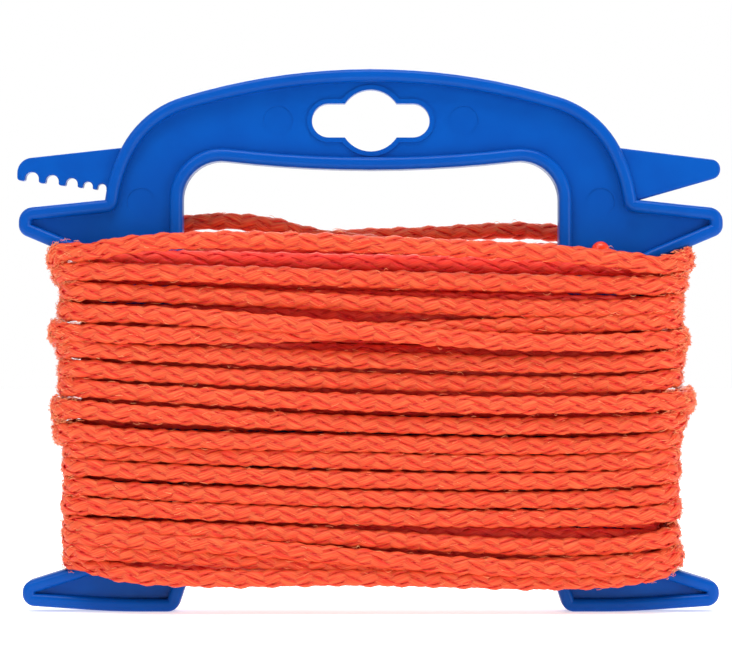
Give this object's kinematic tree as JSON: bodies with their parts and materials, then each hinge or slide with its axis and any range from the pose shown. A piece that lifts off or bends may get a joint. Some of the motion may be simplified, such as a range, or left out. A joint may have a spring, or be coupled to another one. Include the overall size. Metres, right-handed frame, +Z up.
{
  "type": "hand line reel",
  "caption": "Flat moulded hand reel with a carrying handle, hang slot, toothed and notched jaws and feet, wound with orange braided line.",
  "frame": {"origin": "on the ground under the middle of the reel, at the centre of the frame's footprint", "axes": "+X along the reel from the toothed jaw to the notched jaw, +Y from the front to the back, +Z up through the carrying handle"},
  "size_m": [0.1914, 0.0378, 0.1471],
  "materials": {
    "frame_plastic": "satin injection-moulded polypropylene",
    "line_braid": "hollow braid of flat polypropylene strands with a slight sheen",
    "sealed_end": "line melted smooth"
  },
  "bodies": {
    "root": {"frame": "frame_plastic", "anchor_bead": "sealed_end", "winding_inner": "line_braid", "winding_outer": "line_braid", "winding_top_turns": "line_braid", "line_free_end": "line_braid", "line_end_tip": "sealed_end"}
  },
  "joints": []
}
